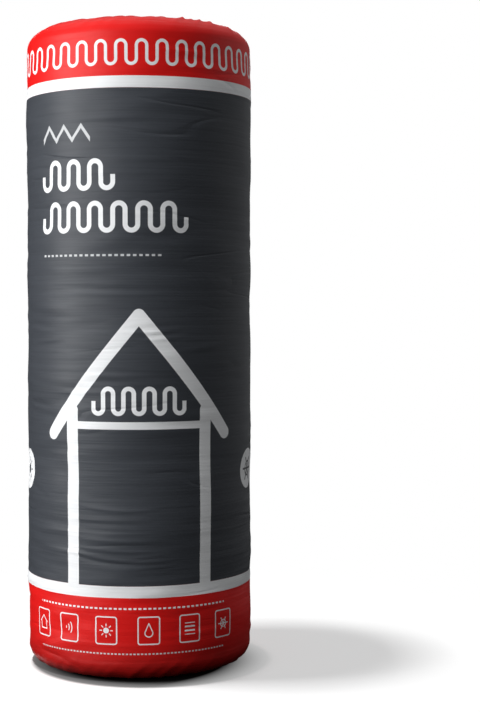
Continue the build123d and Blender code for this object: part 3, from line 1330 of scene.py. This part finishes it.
def glass_wool(wool):
    """Matted glass wool: pale and dark tufts drawn out along the winding, with fine fibre bump."""
    material, tree, shader = new_material("glass_wool")
    place = map_place(tree, LAY_MAP)
    lay = noise(tree, place, **LAY_NOISE)
    tufts = noise(tree, object_place(tree), **TUFT_NOISE)
    threads = noise(tree, place, **THREAD_NOISE)
    mixed = lay * LAY_SHARE + tufts * TUFT_SHARE + threads * THREAD_SHARE
    mixed = mixed.math("MULTIPLY_ADD", WOOL_CONTRAST, WOOL_SHIFT, clamp=True)
    tree.links.new(mix_tones(tree, mixed, wool.colour, WOOL_DARK, WOOL_PALE), shader.inputs["Base Color"])
    shader.inputs["Roughness"].default_value = WOOL_ROUGHNESS
    shader.inputs["Specular IOR Level"].default_value = WOOL_SPECULAR
    shader.inputs["Sheen Weight"].default_value = WOOL_SHEEN
    shader.inputs["Sheen Roughness"].default_value = WOOL_SHEEN_ROUGHNESS
    bump(tree, shader, [(tufts, TUFT_DEPTH), (lay, LAY_DEPTH), (threads, THREAD_DEPTH)])
    return material


def loose_fibre(wool):
    """Single glass fibre strands, paler and shinier than the mat."""
    material, tree, shader = new_material("loose_fibre")
    tone = noise(tree, object_place(tree), **FIBRE_NOISE)
    tree.links.new(mix_tones(tree, tone, wool.colour, FIBRE_DARK, FIBRE_PALE), shader.inputs["Base Color"])
    shader.inputs["Roughness"].default_value = FIBRE_ROUGHNESS
    return material


# The stage

WHITE = (1.0, 1.0, 1.0, 1.0)
SENSOR_WIDTH = 36.0
FLOOR_HALF = 14.0
FLOOR_DROP = 0.0004
# Painted shadow on the floor: its colour goes dark in a ring where the roll stands
PAINTED_SHADOW_PLACE = (0.023, -0.024)
PAINTED_SHADOW_DARK = (0.17, 0.215)
PAINTED_SHADOW_EDGE = (0.209, 0.224)
PAINTED_SHADOW_TONE = 0.09
PAINTED_SHADOW_DEEP = 0.022
PAINTED_SHADOW_LIFT = 0.13
# Painted shade on the floor: its white glow is weaker near the roll and grows outwards, so the shadow is
# darker close by
PAINTED_SHADE_PLACE = (-0.04, -0.03)
PAINTED_SHADE_RISE = (0.2, 0.3)
PAINTED_SHADE_LIFT = 0.56
SHADE_FADE = (0.6, 0.95)
FLOOR_WHITE = 0.86
FLOOR_BOUNCE = 0.07
WALL_REACH = 4.5
WALL_HEIGHT = 5.0
WALL_SIDES = 48
WALL_GLOW = 0.26
WALL_GLOW_RIGHT = (0.0, 2.0)
WALL_GLOW_BACK = (-1.8, 1.4)
WALL_FLOOR_REACH = 0.1925
WALL_FLOOR_SHIFT = -0.0225

# The lamps, as name, place, width, height, and whether the film's gloss shows it. All point at one place, and
# only the last lights the floor.
LAMP_TARGET = (0.0, 0.0, 0.55)
FLOOR_LAMP = "shadow"
LAMPS = (
    ("side", (-2.64, -1.0, 1.12), 1.2, 2.1, True),
    ("front", (-2.1, -2.1, 2.4), 1.6, 1.6, False),
    ("sheen", (-1.75, -2.2, 1.12), 1.2, 2.1, True),
    ("top", (0.0, 0.0, 5.5), 2.5, 2.5, False),
    ("fill", (2.85, 0.5, 1.4), 1.6, 2.0, False),
    ("back", (-0.2, 2.9, 1.3), 1.6, 2.0, True),
    (FLOOR_LAMP, (-1.0, -0.085, 5.2), 0.5, 0.5, False),
)


def seen_rays(tree):
    """1 for rays from the camera, from gloss and through glass, and 0 for rays that light other things."""
    path = tree.nodes.new("ShaderNodeLightPath")
    kinds = ("Is Camera Ray", "Is Glossy Ray", "Is Transmission Ray")
    return reduce(Field.most, [Field(tree, path.outputs[kind]) for kind in kinds])


def mix_shader(tree, amount, first, second):
    """A Mix Shader node from first to second with amount."""
    node = tree.nodes.new("ShaderNodeMixShader")
    tree.links.new(amount.socket, node.inputs[0])
    tree.links.new(first.outputs[0], node.inputs[1])
    tree.links.new(second.outputs[0], node.inputs[2])
    return node


def floor_material():
    """Pale floor that takes the roll's shadow, painted dark where the roll stands, then paler, then plain
    white.
    """
    material, tree, shader = new_material("pale_floor")
    tree.nodes.remove(shader)
    x, y = first_two(tree, object_place(tree))
    # Painted contact shadow: the floor's colour goes dark near where the roll stands
    near = (x - PAINTED_SHADOW_PLACE[0]).hypot(y - PAINTED_SHADOW_PLACE[1])
    ring = ramp(tree, near, *PAINTED_SHADOW_DARK)
    painted_contact_shadow = ring * PAINTED_SHADOW_TONE + ramp(tree, near, *PAINTED_SHADOW_EDGE) * (1.0 - PAINTED_SHADOW_TONE)
    # Painted shade: less white glow near the roll, more further out
    from_shade = (x - PAINTED_SHADE_PLACE[0]).hypot(y - PAINTED_SHADE_PLACE[1])
    painted_shade = ramp(tree, from_shade, *PAINTED_SHADE_RISE).math("SQRT") * PAINTED_SHADE_LIFT
    far = ramp(tree, x.hypot(y), *SHADE_FADE) * (1.0 - PAINTED_SHADE_LIFT)
    lift = painted_shade.most(ring * PAINTED_SHADOW_LIFT) + far
    seen = seen_rays(tree)
    matt = tree.nodes.new("ShaderNodeBsdfDiffuse")
    tone = mix_colour(tree, seen, [FLOOR_BOUNCE] * 3, [FLOOR_WHITE] * 3)
    tone = mix_colour(tree, painted_contact_shadow, [PAINTED_SHADOW_DEEP] * 3, tone)
    tree.links.new(tone, matt.inputs["Color"])
    plain = tree.nodes.new("ShaderNodeEmission")
    plain.inputs["Color"].default_value = WHITE
    mixed = mix_shader(tree, lift * seen, matt, plain)
    tree.links.new(mixed.outputs[0], tree.nodes["Material Output"].inputs["Surface"])
    return material


def add_floor():
    """A wide level floor just under the roll."""
    mesh = bpy.data.meshes.new("floor")
    half = FLOOR_HALF
    corners = [(-half, -half), (half, -half), (half, half), (-half, half)]
    mesh.from_pydata([(x, y, -FLOOR_DROP) for x, y in corners], [], [(0, 1, 2, 3)])
    mesh.materials.append(floor_material())
    floor = link_object("floor", mesh)
    return floor


def wall_material():
    """Dark studio wall that glows faintly behind on the right, which gives the film's shaded edge its rim."""
    material, tree, shader = new_material("dark_wall")
    tree.nodes.remove(shader)
    x, y = first_two(tree, object_place(tree))
    strength = ramp(tree, x, *WALL_GLOW_RIGHT) * ramp(tree, y, *WALL_GLOW_BACK) * WALL_GLOW
    glow = tree.nodes.new("ShaderNodeEmission")
    tree.links.new(strength.socket, glow.inputs["Strength"])
    tree.links.new(glow.outputs[0], tree.nodes["Material Output"].inputs["Surface"])
    return material


def add_studio_wall():
    """A dark drum, a wall with its floor, that shows only in the film's gloss and keeps its shaded side dark.

    Its three rings are circles of points: the edge of the hole in its floor, moved a little to the left, the
    foot of the wall and the top of the wall.
    """
    angle = np.linspace(0.0, TURN, WALL_SIDES, endpoint=False)[None, :]
    reach = np.array([[WALL_FLOOR_REACH], [WALL_REACH], [WALL_REACH]])
    shift = np.array([[WALL_FLOOR_SHIFT], [0.0], [0.0]])
    level = np.array([[0.0], [0.0], [WALL_HEIGHT]]) - FLOOR_DROP / 2.0
    rings = np.broadcast_arrays(shift + reach * np.cos(angle), reach * np.sin(angle), level)
    points = np.stack(rings, axis=-1).reshape(-1, 3)
    index = np.arange(len(points)).reshape(-1, WALL_SIDES)
    after = np.roll(index, -1, axis=1)
    faces = np.stack([index[:-1], index[1:], after[1:], after[:-1]], axis=-1)
    mesh = bpy.data.meshes.new("studio_wall")
    mesh.from_pydata(points.tolist(), [], faces.reshape(-1, 4).tolist())
    mesh.materials.append(wall_material())
    wall = link_object("studio_wall", mesh)
    wall.visible_camera = False
    wall.visible_diffuse = False
    wall.visible_shadow = False
    wall.visible_transmission = False


def set_world(ambient):
    """White where it is seen, and an even weak light otherwise."""
    world = bpy.data.worlds.new("studio")
    bpy.context.scene.world = world
    world.use_nodes = True
    tree = world.node_tree
    weak = tree.nodes["Background"]
    weak.inputs["Color"].default_value = WHITE
    weak.inputs["Strength"].default_value = ambient
    white = tree.nodes.new("ShaderNodeBackground")
    white.inputs["Color"].default_value = WHITE
    mixed = mix_shader(tree, seen_rays(tree), weak, white)
    tree.links.new(mixed.outputs[0], tree.nodes["World Output"].inputs["Surface"])


def add_lamp(name, place, width, height, power):
    """A rectangular soft light at place that points at the lamps' target."""
    light = bpy.data.lights.new(name, "AREA")
    light.shape = "RECTANGLE"
    light.size = width
    light.size_y = height
    light.energy = power
    lamp = link_object(name, light)
    way = np.array(LAMP_TARGET) - np.array(place)
    flat = math.hypot(way[0], way[1])
    lamp.location = place
    lamp.rotation_euler = (math.atan2(flat, -way[2]), 0.0, math.atan2(way[1], way[0]) - math.pi / 2.0)
    return lamp


def link_lamp(lamp, floor, state):
    """Let a lamp light only the floor, or all but the floor, so that the floor takes one clean shadow."""
    lit = bpy.data.collections.new(f"{lamp.name}_lit")
    lit.objects.link(floor)
    lit.collection_objects[0].light_linking.link_state = state
    lamp.light_linking.receiver_collection = lit


def add_lamps(stage, floor):
    """Soft lamps round the roll, and one overhead that throws the roll's shadow on the floor."""
    for name, place, width, height, in_gloss in LAMPS:
        lamp = add_lamp(name, place, width, height, getattr(stage, f"{name}_power"))
        lamp.visible_glossy = in_gloss
        link_lamp(lamp, floor, "INCLUDE" if name == FLOOR_LAMP else "EXCLUDE")


# The add-on


class MakeWool(bpy.types.Operator):
    """Make the wound glass wool quilt with its spiral ends."""

    bl_idname = "insulation.make_wool"
    bl_label = "Make wool roll"

    def execute(self, context):
        wool, film = context.scene.roll_wool, context.scene.roll_film
        points, maps = wool_points(wool, film)
        mesh = ring_mesh("wound_wool", points, maps)
        piece = add_piece("wound_wool", mesh, glass_wool(wool), "glass_wool", "wool_roll")
        return {"FINISHED"}


class MakeFilm(bpy.types.Operator):
    """Make the printed film sleeve, with its wrinkles, pleats and lap."""

    bl_idname = "insulation.make_film"
    bl_label = "Make film sleeve"

    def execute(self, context):
        film, ink_set = context.scene.roll_film, context.scene.roll_print
        points, maps, length = film_points(film)
        mesh = ring_mesh("printed_sleeve", points, maps)
        piece = add_piece("printed_sleeve", mesh, printed_film(film, ink_set), "printed_film", "film_sleeve")
        return {"FINISHED"}


class MakeFibres(bpy.types.Operator):
    """Make the loose fibres on the top end of the wool."""

    bl_idname = "insulation.make_fibres"
    bl_label = "Make loose fibres"

    def execute(self, context):
        wool, film = context.scene.roll_wool, context.scene.roll_film
        mesh = strand_mesh("loose_fibres", fibre_points(wool, film))
        add_piece("loose_fibres", mesh, loose_fibre(wool), "glass_wool")
        return {"FINISHED"}


class SetStage(bpy.types.Operator):
    """Set the floor, the studio wall, the world, the lamps, the camera and the view transform."""

    bl_idname = "insulation.set_stage"
    bl_label = "Set stage"

    def execute(self, context):
        stage = context.scene.roll_stage
        floor = add_floor()
        add_studio_wall()
        set_world(stage.ambient)
        add_lamps(stage, floor)

        view = bpy.data.cameras.new("camera")
        view.sensor_width = SENSOR_WIDTH
        view.lens = stage.lens
        camera = link_object("camera", view)
        camera.location = stage.camera_place
        camera.rotation_euler = (math.pi / 2.0 - stage.camera_pitch, 0.0, 0.0)
        context.scene.camera = camera
        context.scene.view_settings.view_transform = "Standard"
        return {"FINISHED"}


class RollPanel(bpy.types.Panel):
    """Lists the roll's settings and the steps that make it."""

    bl_idname = "VIEW3D_PT_insulation_roll"
    bl_label = "Insulation roll"
    bl_space_type = "VIEW_3D"
    bl_region_type = "UI"
    bl_category = "Insulation roll"

    def draw(self, context):
        for operator in OPERATORS:
            self.layout.operator(operator.bl_idname)
        for name, group in GROUPS.items():
            box = self.layout.box()
            box.label(text=group.__doc__)
            for key in group.__annotations__:
                box.prop(getattr(context.scene, name), key)


GROUPS = {
    "roll_film": FilmSettings,
    "roll_print": PrintSettings,
    "roll_wool": WoolSettings,
    "roll_stage": StageSettings,
}
OPERATORS = (MakeWool, MakeFilm, MakeFibres, SetStage)
CLASSES = (*GROUPS.values(), *OPERATORS, RollPanel)


def register():
    """Register the classes and hang the settings on the scene."""
    for kind in CLASSES:
        bpy.utils.register_class(kind)
    for name, group in GROUPS.items():
        setattr(bpy.types.Scene, name, PointerProperty(type=group))


def unregister():
    """Take the settings off the scene and drop the classes."""
    for name in GROUPS:
        delattr(bpy.types.Scene, name)
    for kind in reversed(CLASSES):
        bpy.utils.unregister_class(kind)


def main():
    """Make every piece and the stage."""
    register()
    bpy.ops.insulation.make_wool()
    bpy.ops.insulation.make_film()
    bpy.ops.insulation.make_fibres()
    bpy.ops.insulation.set_stage()


if __name__ == "__main__":
    main()
